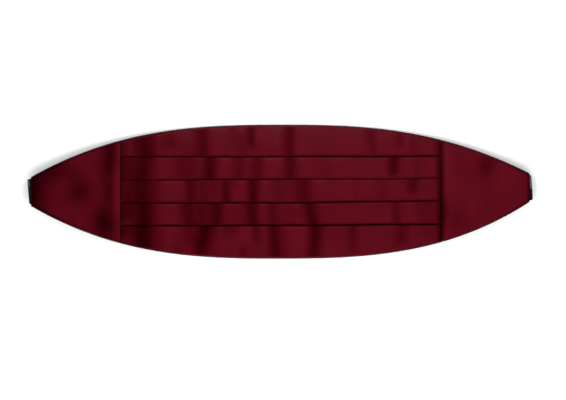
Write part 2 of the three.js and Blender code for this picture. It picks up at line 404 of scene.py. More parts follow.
def upper_rim(x, wall, shade):
    """The roll along the upper edge as (y, z, shade), with painted shade where it turns down to the back."""
    y = half_depth(x) - BACK_MARGIN - wall / 2
    roll = arc(y - RIM_RADIUS, RIM_RISE, RIM_RADIUS, 0, 90, steps=9)
    return [(y, z, max(shade, edge_shade(x, y))) for y, z in [(y, -wall / 2), *roll]]


def lower_rim(x, wall, shade):
    return [(-y, z, dark) for y, z, dark in reversed(upper_rim(x, wall, shade))]


def undulation(band, x):
    """The slow rise and fall that satin keeps between its creases."""
    return MM * sum(
        wave.height * math.sin(math.tau * x / wave.length + BAND_PHASE * band * k + wave.phase)
        for k, wave in enumerate(SATIN_WAVES, 1)
    )


def fold_wander(k, x):
    """How far a fold strays from its straight line."""
    return MM * sum(wave.height * math.sin(x / wave.length + wave.phase * k) for wave in FOLD_WAVES)


def beside_crease(crease, x, share, taper):
    """(distance from a crease's line in half widths, the crease's strength) a share down the cloth."""
    off = (x / MM - crease.at - crease.lean * (share - 0.5)) / (crease.width / 2)
    begun = smoothstep(share, crease.top - taper, crease.top + taper)
    return off, begun * (1 - smoothstep(share, crease.bottom - taper, crease.bottom + taper))


def crease_at(band, x, share):
    """(height, painted shade) that the creases of a band give at a place along it and a share down its face.
    """
    height, shade = 0.0, 0.0
    for crease in PUCKERS[band]:
        off, strength = beside_crease(crease, x, share, CREASE_TAPER)
        if abs(off) <= CREASE_LIMIT:
            height -= crease.depth * MM * strength * (hump(off) - SHOULDER * hump(abs(off) - SHOULDER_AT))
            shade += crease.depth * strength * hump(off * SHADE_NARROWING)
    return height, min(shade, DARKEST_CREASE)


def painted_seam_shade(x):
    """Painted shade on the pleats where they go down into a seam, by the side."""
    shade_in_seam = LEFT_VALLEY if x < 0 else RIGHT_VALLEY
    from_seam = (PLEATS_END - abs(x)) / MM
    return shade_in_seam.depth * math.exp(-((from_seam / shade_in_seam.reach) ** VALLEY_POWER))


def sagged(z, drop, lowest):
    """A height that sinks by up to a drop, less and less as it nears the lowest that it can reach."""
    room = max(z - lowest, 1e-6)
    return z - drop if drop < 0 else z - room * (1 - math.exp(-drop / room))


# ---------------------------------------------------------------- cross sections of the cloth


def pleated_section(x, sizes):
    """Mid-thickness of the pleated satin across the band, as rows of (y, z, shade)."""
    wall = sizes.satin_thickness
    pitch = wall * LAYER_PITCH
    pressed = sizes.seam_flattening * (1.0 if x < 0 else 0.5)
    softness = smoothstep(PLEATS_END - abs(x), 0.0, pressed)
    shade_in_seam = painted_seam_shade(x)
    under = wall / 2
    turned_back = under + pitch
    line = upper_rim(x, wall, shade_in_seam)

    def face(points, band, hidden_end, fold_shade):
        start, stop = points[0][0], points[-1][0]
        for y, z in points:
            share = (start - y) / (start - stop)
            raised, shade = crease_at(band, x, share)
            # A face is held down where it goes under the next fold, and a little at its own fold
            free = smoothstep(1 - share, 0.0, 0.25) * smoothstep(share + 0.12, 0.0, 0.3)
            height = (raised + undulation(band, x)) * softness * sizes.pucker_depth * free
            # It rests on the layers of the pleat under it as far as they reach
            lowest = lerp(turned_back + pitch, under, smoothstep(hidden_end - y, -1 * MM, 2 * MM))
            # Painted shade in the crevice where the face meets the fold below it
            dark = fold_shade * hump((y - stop) / UNDER_FOLD)
            line.append((y, sagged(z, -height, lowest), max(shade + shade_in_seam, dark, edge_shade(x, y))))

    hidden_end = math.inf
    for k, form in enumerate(FOLDS):
        gape = hump((x / MM - form.gapes_at) / form.half_length)
        roll = lerp(pitch / 2, (form.roll + FOLD_GAPE * gape) * MM, softness)
        fold = FIRST_FOLD - k * PLEAT_PITCH + form.rise * x / 100 + fold_wander(k, x) * softness
        fold -= form.sag * gape * MM
        inner = fold - sizes.pleat_underlap
        # Painted shade in the crevice at this fold, deeper where it gapes
        dark = form.shade * lerp(form.faint, 1.0, gape) * lerp(0.5, 1.0, softness)
        foot = (fold + FACE_STOP, under)
        face(bowed_run(line[-1][:2], foot, steps=25), k, hidden_end, dark)
        turned_under = arc(inner, under + pitch / 2, pitch / 2, 270, 90, steps=6)
        for y, z in run(foot, (inner, under), steps=3) + turned_under[1:]:
            line.append((y, z, dark))
        # Painted shade round the roll: the creases of the band below it, the seam's, and some of the
        # crevice's
        hollow = crease_at(k + 1, x, 0.0)[1] + shade_in_seam + ROLL_REST * dark
        turn = arc(fold - wall / 2 - roll, turned_back + roll, roll, -90, 90, ROLL_STEPS)
        for i, (y, z) in enumerate(turn):
            fading = dark * (1 - smoothstep(i, *ROLL_DARK))
            line.append((y, z, max(hollow * smoothstep(i, *ROLL_HOLLOW), fading)))
        hidden_end = inner
    rim = lower_rim(x, wall, shade_in_seam)
    face(bowed_run(line[-1][:2], rim[0][:2], steps=30), PLEAT_COUNT, hidden_end, 0.0)
    line.extend(rim[1:])
    return line


def panel_height(side, from_seam):
    rows = [(c.from_seam * MM, c.height * MM) for c in PANEL_CRESTS[side]]
    for (a, low), (b, high) in zip(rows, rows[1:]):
        if from_seam <= b:
            return lerp(low, high, ease(max(0.0, from_seam - a) / (b - a)))
    return rows[-1][1]


def dent_at(side, x, y):
    """(height, painted shade) of a side panel's dents."""
    height, shade = 0.0, 0.0
    for dent in DENTS:
        if dent.side != side:
            continue
        turn = math.radians(dent.turn)
        dx, dy = x / MM - dent.at, y / MM - dent.across
        along = (dx * math.cos(turn) + dy * math.sin(turn)) / dent.half_length
        across = (dy * math.cos(turn) - dx * math.sin(turn)) / dent.half_width
        dip = hump(along) * hump(across)
        height -= dent.depth * MM * dip
        shade += dent.depth * dip
    return height, shade


def seam_gape(side, y):
    """The right seam lies more open below the middle of the band."""
    return 1.0 if side == "left" else 1 + 0.8 * hump((y / MM + 22) / 15)


def panel_end(x):
    """How far from the middle the satin ends, on the side of a place along the band."""
    return PANEL_END + end_near(x).overhang


def panel_shade(side, x, y):
    """Painted shade on a side panel besides its dents: at its seam, its end and its long edges, and all over
    the left panel past its lip.
    """
    from_seam = (abs(x) - PANEL_START) / MM
    shade = edge_shade(x, y) + end_near(x).shade * hump((panel_end(x) - abs(x)) / END_SHADE_REACH)
    if side == "left":
        return shade + LIP_SHADE * smoothstep(from_seam, LIP_LENGTH - 2.5, LIP_LENGTH + 1)
    depth = lerp(*RIGHT_SEAM_DEPTHS, smoothstep(y, 5 * MM, 50 * MM))
    return shade + depth * hump(from_seam / (RIGHT_SEAM_REACH * seam_gape(side, y)))


def panel_section(side, x, sizes):
    """Mid-thickness of a plain side panel across the band, as rows of (y, z, shade)."""
    wall = sizes.satin_thickness
    from_seam = abs(x) - PANEL_START
    free = smoothstep(panel_end(x) - abs(x), 0.0, END_PRESSED)
    rim = upper_rim(x, wall, 0.0)
    crown, crown_height, _ = rim[-1]
    section = rim[:-1]
    for y in np.linspace(crown, -crown, PANEL_ROWS):
        inside = 1 - abs(y / crown) ** CROWN_POWER
        dip, shade = dent_at(side, x, y)
        dip *= smoothstep(from_seam, 0.0, LIP_LENGTH * MM)
        height = lerp(PRESSED_END, panel_height(side, from_seam / seam_gape(side, y)), free)
        z = lerp(crown_height, height, inside) + dip * inside * free
        section.append((y, z, min(DARKEST_PANEL, shade + panel_shade(side, x, y))))
    section.extend(lower_rim(x, wall, 0.0)[1:])
    return section


def back_section(x):
    """Mid-thickness of the back panel across the band, drawn up a little off the surface in its creases."""
    edge = half_depth(x) - BACK_WALL / 2
    section = []
    for y in np.linspace(edge, -edge, BACK_ROWS):
        share = (edge - y) / (2 * edge)
        height = 0.0
        for crease in BACK_CREASES:
            off, strength = beside_crease(crease, x, share, BACK_CREASE_TAPER)
            height = max(height, crease.depth * MM * strength * hump(off))
        section.append((y, height * smoothstep(min(share, 1 - share), 0, 0.08), 0.0))
    return section


# ---------------------------------------------------------------- meshes

EDGE_STEPS = 4  # points round each edge of a sheet of cloth


def linked(name, data):
    """A new object in the scene."""
    made = bpy.data.objects.new(name, data)
    bpy.context.scene.collection.objects.link(made)
    return made


def ring_around(line, wall):
    """The closed outline of a sheet of cloth around its mid-thickness line, with round edges.

    It gives (y, z, distance across the cloth, shade) for each point, upper face first.
    """
    points = np.array([p[:2] for p in line])
    shades = [p[2] for p in line]
    along = np.gradient(points, axis=0)
    along /= np.linalg.norm(along, axis=1)[:, None]
    reach = np.stack([along[:, 1], -along[:, 0]], axis=1) * wall / 2
    distance = np.concatenate([[0], np.cumsum(np.linalg.norm(np.diff(points, axis=0), axis=1))])
    rows = [(*p, d, s) for p, d, s in zip(points + reach, distance, shades)]

    def edge(i, direction):
        for turn in np.linspace(0, math.pi, EDGE_STEPS + 2)[1:-1]:
            outward = reach[i] * math.cos(turn) + along[i] * wall / 2 * math.sin(turn)
            rows.append((*(points[i] + direction * outward), distance[i], 0.0))

    edge(-1, 1)
    rows.extend((*p, d, 0.0) for p, d in zip((points - reach)[::-1], distance[::-1]))
    edge(0, -1)
    return rows


def swept_cloth(name, places, section_at, wall, base, material):
    """A closed piece of cloth swept along the band through the section that it has at each place."""
    rings = [ring_around(section_at(x), wall) for x in places]
    count = len(rings[0])
    vertices = [
        (x, y + middle_line(x), z + base + lift(x))
        for x, ring in zip(places, rings)
        for y, z, _, _ in ring
    ]
    faces = [
        (s * count + i, s * count + (i + 1) % count, (s + 1) * count + (i + 1) % count, (s + 1) * count + i)
        for s in range(len(places) - 1)
        for i in range(count)
    ]
    lines = count // 2 - EDGE_STEPS
    for first, turned in ((0, True), ((len(places) - 1) * count, False)):
        upper = [first + i for i in range(lines)]
        lower = [first + 2 * lines + EDGE_STEPS - 1 - i for i in range(lines)]
        ends = [(a, b, d, c) for a, b, c, d in zip(upper, upper[1:], lower, lower[1:])]
        ends.append((upper[-1], *range(upper[-1] + 1, lower[-1]), lower[-1]))
        ends.append((lower[0], *range(lower[0] + 1, first + count), upper[0]))
        faces.extend(tuple(reversed(f)) if turned else f for f in ends)
    mesh = bpy.data.meshes.new(name)
    mesh.from_pydata(vertices, [], faces)
    rows = [(x, d, shade) for x, ring in zip(places, rings) for _, _, d, shade in ring]
    uv = mesh.uv_layers.new(name="Cloth")
    index = np.empty(len(mesh.loops), dtype=np.int32)
    mesh.loops.foreach_get("vertex_index", index)
    table = np.array(rows, dtype=np.float32)
    uv.data.foreach_set("uv", table[index][:, :2].ravel())
    # Painted shade for the satin's colour: in creases, under folds, in seams and along edges
    shade = mesh.attributes.new("painted_shade", "FLOAT", "POINT")
    shade.data.foreach_set("value", table[:, 2])
    return finished(name, mesh, material)


def finished(name, mesh, material=None, sharp_angle=50):
    """Links a mesh as a piece with smooth faces and outward normals."""
    work = bmesh.new()
    work.from_mesh(mesh)
    bmesh.ops.recalc_face_normals(work, faces=work.faces)
    if work.calc_volume(signed=True) < 0:
        bmesh.ops.reverse_faces(work, faces=work.faces)
    work.to_mesh(mesh)
    work.free()
    if material:
        mesh.materials.clear()
        mesh.materials.append(material)
    mesh.polygons.foreach_set("use_smooth", [True] * len(mesh.polygons))
    mesh.set_sharp_from_angle(angle=math.radians(sharp_angle))
    return linked(name, mesh)


def made_mesh(source, name):
    """The evaluated mesh of an object with a Geometry Nodes modifier. The object itself is removed."""
    graph = bpy.context.evaluated_depsgraph_get()
    mesh = bpy.data.meshes.new_from_object(source.evaluated_get(graph))
    mesh.name = name
    data = source.data
    bpy.data.objects.remove(source)
    if data.users == 0:
        (bpy.data.curves if isinstance(data, bpy.types.Curve) else bpy.data.meshes).remove(data)
    return mesh


def piece_at_end(source, name, end):
    """Turns an object with a Geometry Nodes modifier into a plain piece at an end of the band.

    The object is made with its origin at the end of the cloth and its X pointing outward.
    """
    mesh = made_mesh(source, name)
    turn = end.skew + (math.pi if end.outward < 0 else 0)
    place = Vector((end.outward * CLOTH_HALF_LENGTH, end.sweep, 0))
    mesh.transform(Matrix.Translation(place) @ Matrix.Rotation(turn, 4, "Z"))
    return finished(name, mesh)


# ---------------------------------------------------------------- node trees


class Tree:
    """Shorthand for building a node tree."""

    def __init__(self, tree):
        self.tree = tree

    def feed(self, node, inputs):
        """Sets a node's inputs to plain values, or links them to the outputs of other nodes."""
        for key, value in inputs.items():
            if isinstance(value, bpy.types.NodeSocket):
                self.tree.links.new(value, node.inputs[key])
            else:
                node.inputs[key].default_value = value

    def node(self, kind, inputs=None, **settings):
        node = self.tree.nodes.new(kind)
        for key, value in settings.items():
            setattr(node, key, value)
        self.feed(node, inputs or {})
        return node

    def first(self, kind, inputs=None, **settings):
        """The first output of a new node."""
        return self.node(kind, inputs, **settings).outputs[0]

    def math(self, operation, *values):
        return self.first("ShaderNodeMath", dict(enumerate(values)), operation=operation)

    def product(self, *values):
        result = values[0]
        for value in values[1:]:
            result = self.math("MULTIPLY", result, value)
        return result

    def scaled(self, value, factor, offset):
        """A value times a factor, plus an offset."""
        return self.math("ADD", self.product(value, factor), offset)

    def vector_math(self, operation, *values):
        return self.first("ShaderNodeVectorMath", dict(enumerate(values)), operation=operation)

    def vector(self, x, y, z):
        return self.first("ShaderNodeCombineXYZ", {0: x, 1: y, 2: z})

    def tinted(self, colour, tone):
        """A colour made lighter or darker by a tone."""
        return self.vector_math("MULTIPLY", tuple(colour)[:3], self.vector(tone, tone, tone))

    def mix(self, factor, a, b):
        inputs = {0: factor, 6: a, 7: b}
        return self.node("ShaderNodeMix", inputs, data_type="RGBA", blend_type="MIX").outputs[2]

    def ranged(self, value, to, source=(0.0, 1.0)):
        """A value brought from one range to another."""
        inputs = {0: value, 1: source[0], 2: source[1], 3: to[0], 4: to[1]}
        return self.first("ShaderNodeMapRange", inputs)

    def place(self, scale=(1, 1, 1), turn=0.0, from_uv=False):
        """A place on the piece, or on its flat cloth from its UV."""
        source = self.node("ShaderNodeTexCoord").outputs["UV" if from_uv else "Object"]
        inputs = {"Vector": source, "Rotation": (0, 0, turn), "Scale": scale}
        return self.first("ShaderNodeMapping", inputs)

    def noise(self, place, detail, roughness=0.5):
        inputs = {"Vector": place, "Scale": 1.0, "Detail": detail, "Roughness": roughness}
        return self.first("ShaderNodeTexNoise", inputs)

    def bump(self, height, strength, distance):
        inputs = {"Height": height, "Strength": strength, "Distance": distance}
        return self.first("ShaderNodeBump", inputs)

    def attribute(self, name):
        return self.node("ShaderNodeAttribute", attribute_name=name).outputs["Fac"]


def new_group(name, kind, inputs, outputs):
    """A node group with named sockets, each given by its default number or by its kind of socket."""
    group = bpy.data.node_groups.new(name, kind)
    words = {int: "Int", float: "Float"}
    for label, given in inputs.items():
        word = words.get(type(given), given)
        made = group.interface.new_socket(label, in_out="INPUT", socket_type=f"NodeSocket{word}")
        if word != given:
            made.default_value = given
    for label, word in outputs.items():
        group.interface.new_socket(label, in_out="OUTPUT", socket_type=f"NodeSocket{word}")
    return group, Tree(group)


def thread_group():
    """Threads that run along and across a cloth: their height, and the tone that differs between them."""
    inputs = {
        "Place": "Vector",
        "Threads Along": 250.0,
        "Threads Across": 3000.0,
        "Slub": 0.5,
    }
    group, t = new_group("Cloth Threads", "ShaderNodeTree", inputs, {"Height": "Float", "Tone": "Float"})
    given = t.node("NodeGroupInput").outputs
    scale = t.vector(given["Threads Along"], given["Threads Across"], 1.0)
    place = t.vector_math("MULTIPLY", given["Place"], scale)
    fine = t.noise(place, 2.0, 0.6)
    slub = t.noise(t.vector_math("MULTIPLY", place, (0.08, 0.12, 1.0)), 1.0)
    tone = t.math("ADD", fine, t.product(slub, given["Slub"]))
    t.node("NodeGroupOutput", {"Height": fine, "Tone": tone})
    return group


def twill_group():
    """Diagonal twill lines, which also serve as an elastic's ribs: a height and a mask."""
    inputs = {
        "Place": "Vector",
        "Pitch": 0.8 * MM,
        "Cross Pitch": 0.6 * MM,
    }
    group, t = new_group("Ribbed Weave", "ShaderNodeTree", inputs, {"Height": "Float", "Mask": "Float"})
    given = t.node("NodeGroupInput").outputs
    split = t.node("ShaderNodeSeparateXYZ", {0: given["Place"]}).outputs
    turns = t.math("DIVIDE", t.math("ADD", split[0], split[1]), given["Pitch"])
    cross = t.math("DIVIDE", t.math("SUBTRACT", split[0], split[1]), given["Cross Pitch"])
    ridge = t.math("SINE", t.product(turns, math.tau))
    knit = t.math("SINE", t.product(cross, math.tau))
    height = t.math("ADD", ridge, t.product(knit, 0.35))
    t.node("NodeGroupOutput", {"Height": height, "Mask": t.scaled(height, 0.37, 0.5)})
    return group


def weave_on(t, place, pitch, cross_pitch):
    """The outputs of a ribbed weave that lies at a place."""
    group = bpy.data.node_groups.get("Ribbed Weave") or twill_group()
    inputs = {"Place": place, "Pitch": pitch, "Cross Pitch": cross_pitch}
    return t.node("ShaderNodeGroup", inputs, node_tree=group).outputs


def new_material(name):
    """A material with just a Principled BSDF, as (material, its tree, the shader)."""
    material = bpy.data.materials.new(name)
    material.use_nodes = True
    tree = Tree(material.node_tree)
    material.node_tree.nodes.clear()
    shader = tree.node("ShaderNodeBsdfPrincipled")
    tree.node("ShaderNodeOutputMaterial", {"Surface": shader.outputs[0]})
    return material, tree, shader


def shared_material(name, make, colours):
    """A material that several pieces have, made for the first of them."""
    return bpy.data.materials.get(name) or make(name, colours)


def satin_material(name, colours):
    """Burgundy satin: long glossy floats along the band, slubs, cloudy tone, and painted shade in its
    creases, under its folds, in its seams and along its edges, which dims its sheen there too.
    """
    material, t, shader = new_material(name)
    inputs = {"Place": t.place(from_uv=True), "Threads Along": 180.0, "Threads Across": 3200.0}
    threads = t.node("ShaderNodeGroup", inputs, node_tree=thread_group()).outputs
    cloud = t.noise(t.place((52, 17, 52)), 2.0, 0.55)
    streak = t.noise(t.place((140, 24, 60)), 2.0, 0.6)
    slubs = t.noise(t.place((26, 700, 1), from_uv=True), 4.0, 0.7)
    # Painted shade: the satin is darkened where the shade attribute of its mesh says, by a set strength
    crease = t.product(t.attribute("painted_shade"), colours.painted_shade_strength)
    shade = t.first("ShaderNodeClamp", {0: t.math("SUBTRACT", 1.0, crease), 1: 0.06, 2: 1.0})
    tone = t.math("ADD", t.scaled(cloud, 0.5, 0.6), t.product(streak, 0.3))
    tone = t.product(tone, shade, t.scaled(threads["Tone"], 0.10, 0.93), t.scaled(slubs, 0.22, 0.89))
    # The painted shade dims the sheen as well as the colour
    sheen_shade = t.vector(shade, shade, shade)
    gloss = t.math("ADD", t.ranged(cloud, (0.33, 0.43)), t.product(slubs, 0.06))
    t.feed(shader, {
        "Base Color": t.tinted(colours.satin, tone),
        "Roughness": gloss,
        "Specular IOR Level": 0.065,
        "Specular Tint": t.vector_math("MULTIPLY", sheen_shade, sheen_shade),
        "Normal": t.bump(threads["Height"], 0.25, 0.02 * MM),
    })
    return material


def back_material(colours):
    """Black twill, matt, with faint diagonal lines."""
    material, t, shader = new_material("black_twill")
    weave = weave_on(t, t.place(from_uv=True), 1.1 * MM, 0.7 * MM)
    cloud = t.noise(t.place((30, 30, 30)), 3.0)
    tone = t.math("ADD", t.scaled(cloud, 0.5, 0.5), t.product(weave["Mask"], 0.5))
    t.feed(shader, {
        "Base Color": t.tinted(colours.back, tone),
        "Roughness": 0.72,
        "Specular IOR Level": 0.3,
        "Normal": t.bump(weave["Height"], 0.4, 0.08 * MM),
    })
    return material


def elastic_material(colours, end):
    """Black elastic: a fine cross weave over the strap's ribs, and a pale painted highlight along the crest
    of its fold.
    """
    material, t, shader = new_material(f"black_elastic_{end.side}")
    weave = weave_on(t, t.place(turn=-end.skew), 1.2 * MM, 1.2 * MM)
    black = t.tinted(colours.elastic, t.scaled(weave["Mask"], 0.9, 0.55))
    # Patches of the painted highlight along the fold
    patchy = t.noise(t.place((90, 420, 90)), 2.0)
    highlight_patches = t.ranged(patchy, (0.3, 1.0), (0.3, 0.6))
    t.feed(shader, {
        "Base Color": t.mix(t.product(t.attribute("painted_fold_highlight"), highlight_patches), black, tuple(colours.highlight_colour)),
        "Roughness": t.math("SUBTRACT", 0.72, t.product(weave["Mask"], 0.15)),
        "Specular IOR Level": 0.08,
        "Normal": t.bump(weave["Height"], 0.5, 0.1 * MM),
    })
    return material


def thread_material(name, colours):
    """Black sewing thread."""
    material, t, shader = new_material(name)
    ply = t.noise(t.place((9000, 2500, 9000)), 1.0)
    colour = t.tinted(colours.thread, t.math("ADD", ply, 0.5))
    t.feed(shader, {"Base Color": colour, "Roughness": 0.5})
    return material


def enamel_material(name, colours):
    """Black enamelled steel, with bright specks where the enamel has rubbed through."""
    material, t, shader = new_material(name)
    rubbed = t.noise(t.place((420, 420, 900)), 4.0)
    wear_and_highlight = t.ranged(rubbed, (0.0, 1.0), (0.66, 0.74))
    haze = t.noise(t.place((900, 900, 900)), 2.0)
    t.feed(shader, {
        "Base Color": t.mix(wear_and_highlight, tuple(colours.enamel), (0.42, 0.40, 0.37, 1.0)),
        "Metallic": wear_and_highlight,
        "Roughness": t.ranged(haze, (0.22, 0.38)),
    })
    return material


# ---------------------------------------------------------------- Geometry Nodes

PROFILE_POINTS = 160
OVAL_POWER = 24.0  # the higher, the flatter the strap between its two round edges
# How far the fold's pull reaches along the strap, and how sharp the painted highlight on its crest is
FOLD_PULL_AND_HIGHLIGHT_LENGTH = 1.4 * MM
CREST_SHARPNESS = 12.0


def painted_output(t, geometry, material):
    """Ends a tree: real geometry, with its material."""
    real = t.first("GeometryNodeRealizeInstances", {"Geometry": geometry})
    painted = t.first("GeometryNodeSetMaterial", {"Geometry": real, "Material": material})
    t.node("NodeGroupOutput", {"Geometry": painted})


def strap_tree():
    """Sweeps a ribbed, flat, round-edged profile along the strap's path."""
    inputs = {
        "Geometry": "Geometry",
        "Width": STRAP_WIDTH,
        "Thickness": STRAP_WALL,
        "Ribs": 13,
        "Rib Height": 0.1 * MM,
        "Step": 0.6 * MM,
        "Fold Reach": 5.0 * MM,
        "Corner Pull": 0.05,
        "Worn From": 0.0,
        "Worn To": 8.0 * MM,
        "Material": "Material",
    }
    group, t = new_group("Ribbed Strap", "GeometryNodeTree", inputs, {"Geometry": "Geometry"})
    given = t.node("NodeGroupInput").outputs
    spacing = {"Curve": given["Geometry"], "Length": given["Step"]}
    path = t.first("GeometryNodeResampleCurve", spacing, mode="LENGTH")
    circle = t.first("GeometryNodeCurvePrimitiveCircle", {"Resolution": PROFILE_POINTS, "Radius": 1.0})
    turn = t.product(t.first("GeometryNodeInputIndex"), math.tau / PROFILE_POINTS)
    across, up = t.math("COSINE", turn), t.math("SINE", turn)
    # A flat oval: the width follows the angle evenly, and the height is full but for the two round edges
    spread = t.math("SUBTRACT", 1.0, t.math("DIVIDE", t.math("ARCCOSINE", across), math.pi / 2))
    side = t.math("SIGN", up)
    thinning = t.math("POWER", t.math("ABSOLUTE", spread), OVAL_POWER)
    fullness = t.math("POWER", t.math("SUBTRACT", 1.0, thinning), 0.5)
    ribs = t.math("COSINE", t.product(spread, given["Ribs"], math.pi))
    half_rib = t.math("DIVIDE", given["Rib Height"], 2.0)
    half = t.math("SUBTRACT", t.math("DIVIDE", given["Thickness"], 2.0), half_rib)
    height = t.product(side, fullness, t.math("ADD", half, t.product(ribs, half_rib)))
    width = t.product(spread, t.math("DIVIDE", given["Width"], 2.0))
    point = t.vector(width, height, 0.0)
    profile = t.first("GeometryNodeSetPosition", {"Geometry": circle, "Position": point})
    swept = t.first("GeometryNodeCurveToMesh", {"Curve": path, "Profile Curve": profile, "Fill Caps": True})
    # The fold pulls its corners in, and a painted highlight lies along its crest over part of its width
    place = t.node("ShaderNodeSeparateXYZ", {0: t.first("GeometryNodeInputPosition")}).outputs
    from_fold = t.math("DIVIDE", t.math("SUBTRACT", given["Fold Reach"], place[0]), FOLD_PULL_AND_HIGHLIGHT_LENGTH)
    near_fold = t.math("EXPONENT", t.product(from_fold, from_fold, -1.0))
    narrowed = t.math("SUBTRACT", 1.0, t.product(near_fold, given["Corner Pull"]))
    drawn_in = t.vector(place[0], t.product(place[1], narrowed), place[2])
    pulled = t.first("GeometryNodeSetPosition", {"Geometry": swept, "Position": drawn_in})
    off_crest = t.math("SUBTRACT", from_fold, 1.0)
    crest = t.math("EXPONENT", t.product(off_crest, off_crest, -CREST_SHARPNESS))
    above = t.math("GREATER_THAN", place[1], given["Worn From"])
    below = t.math("LESS_THAN", place[1], given["Worn To"])
    highlight_mask = t.product(crest, t.product(above, below))
    marking = {"Geometry": pulled, "Name": "painted_fold_highlight", "Value": highlight_mask}
    marked = t.first("GeometryNodeStoreNamedAttribute", marking)
    painted_output(t, marked, given["Material"])
    return group


def stitch_tree():
    """Lays a row of short thread stitches along a path."""
    inputs = {
        "Geometry": "Geometry",
        "Pitch": 2.4 * MM,
        "Length": 1.9 * MM,
        "Thread": 0.35 * MM,
        "Unevenness": 0.08 * MM,
        "Seed": 7,
        "Material": "Material",
    }
    group, t = new_group("Stitch Row", "GeometryNodeTree", inputs, {"Geometry": "Geometry"})
    given = t.node("NodeGroupInput").outputs
    path = t.first("GeometryNodeMeshToCurve", {"Mesh": given["Geometry"]})
    spacing = {"Curve": path, "Length": given["Pitch"]}
    even = t.first("GeometryNodeResampleCurve", spacing, mode="LENGTH")
    points = t.node("GeometryNodeCurveToPoints", {"Curve": even}, mode="EVALUATED").outputs
    ball = t.first("GeometryNodeMeshUVSphere", {"Segments": 8, "Rings": 6, "Radius": 0.5})
    size = t.vector(given["Thread"], given["Thread"], given["Length"])
    stitch = t.first("GeometryNodeTransform", {"Geometry": ball, "Scale": size})
    laying = {"Points": points["Points"], "Instance": stitch, "Rotation": points["Rotation"]}
    placed = t.first("GeometryNodeInstanceOnPoints", laying)
    most = given["Unevenness"]
    least = t.product(most, -1.0)
    straying = {0: t.vector(least, least, 0.0), 1: t.vector(most, most, 0.0), "Seed": given["Seed"]}
    jitter = t.first("FunctionNodeRandomValue", straying, data_type="FLOAT_VECTOR")
    moved = t.first("GeometryNodeTranslateInstances", {"Instances": placed, "Translation": jitter})
    painted_output(t, moved, given["Material"])
    return group


def run_tree(source, group, values):
    """Adds a Geometry Nodes modifier to an object and sets its inputs by their identifiers."""
    modifier = source.modifiers.new("Shape", "NODES")
    modifier.node_group = group
    for item in group.interface.items_tree:
        if item.item_type == "SOCKET" and item.in_out == "INPUT" and item.name in values:
            modifier[item.identifier] = values[item.name]
    return source


def curve_along(name, points):
    data = bpy.data.curves.new(name, "CURVE")
    data.dimensions = "3D"
    spline = data.splines.new("POLY")
    spline.points.add(len(points) - 1)
    for point, place in zip(spline.points, points):
        point.co = (*place, 1.0)
    return linked(name, data)


def path_mesh(name, rows):
    """A mesh of open chains of edges, one for each row of points."""
    vertices, edges = [], []
    for row in rows:
        first = len(vertices)
        vertices.extend(row)
        edges.extend((first + i, first + i + 1) for i in range(len(row) - 1))
    mesh = bpy.data.meshes.new(name)
    mesh.from_pydata(vertices, edges, [])
    return linked(name, mesh)


# ---------------------------------------------------------------- straps


def strap_path(end):
    """The strap's mid-thickness in its end's frame, as (outward, 0, up) points."""
    reach = (STRAP_REACH - STRAP_WIDTH / 2 * math.sin(end.skew)) / math.cos(end.skew)
    turn_at = STRAP_TURN_RADIUS + STRAP_WALL / 2 - reach
    between = SATIN_BASE + STRAP_WALL / 2
    on_surface = STRAP_WALL / 2
    sewn_in = [
        (inward, lift(end.outward * (CLOTH_HALF_LENGTH - inward)) + between)
        for inward in np.linspace(STRAP_SEWN_IN, 0, num=7)
    ]
    turn_height = end.lift + between - STRAP_TURN_RADIUS
    turn = arc(turn_at, turn_height, STRAP_TURN_RADIUS, 90, 270, steps=14)
    landing = (STRAP_LANDING, on_surface)
    loop_at = end.bar_from_end + FRAME_BAR
    loop = arc(loop_at, BAR_MIDDLE, BAR_MIDDLE - on_surface, -90, 90, steps=12)
    over_bar = (end.bar_from_end, loop[-1][1])
    tail = (end.bar_from_end - STRAP_TAIL_DROP, on_surface + STRAP_LAYER)
    line = [
        *sewn_in,
        *turn,
        *run(turn[-1], landing, steps=30, softness=1),
        *run(landing, loop[0], steps=8),
        *loop[1:],
        over_bar,
        *run(over_bar, tail, steps=6, softness=1),
        *run(tail, (tail[0] - STRAP_TAIL, tail[1]), steps=4),
    ]
    return [(-inward, 0.0, z) for inward, z in line]


# ---------------------------------------------------------------- attaching pieces, stitches and stamped edges


def declare_sheet(piece, node):
    """Attaches a cloth piece to the body and hides the solid that it stands for."""
    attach(piece, BODY)
    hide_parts(node)


def stitch_rows(end):
    """A box of stitches through a strap's tail and the strap under it, on both outer faces."""
    near = STITCH_MARGIN - (end.bar_from_end - STRAP_TAIL_DROP)
    far = near + STRAP_TAIL - 2 * STITCH_MARGIN
    half = STRAP_WIDTH / 2 - STITCH_MARGIN
    corners = ((near, -half), (near, half), (far, half), (far, -half), (near, -half))
    return [[(x, y, z) for x, y in corners] for z in STITCH_LEVELS]


def softened_copy(node, width):
    """A merged copy of a CAD node with its edges softened."""
    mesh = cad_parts[node].data.copy()
    mesh.name = node
    work = bmesh.new()
    work.from_mesh(mesh)
    bmesh.ops.remove_doubles(work, verts=work.verts, dist=0.01 * MM)
    bmesh.ops.dissolve_limit(work, angle_limit=math.radians(1), verts=work.verts, edges=work.edges)
    sharp = [e for e in work.edges if len(e.link_faces) == 2 and e.calc_face_angle(0) > math.radians(35)]
    bmesh.ops.bevel(work, geom=sharp, offset=width, segments=2, affect="EDGES", clamp_overlap=True)
    bmesh.ops.triangulate(work, faces=[f for f in work.faces if len(f.verts) > 4])
    # Triangulating leaves the faces in any order, so they are put in the order of their corners
    work.verts.index_update()
    count = len(work.verts)
    work.faces.sort(key=lambda f: sum(i * count**k for k, i in enumerate(sorted(v.index for v in f.verts))))
    work.to_mesh(mesh)
    work.free()
    return mesh


# ---------------------------------------------------------------- add-on: sizes and colours


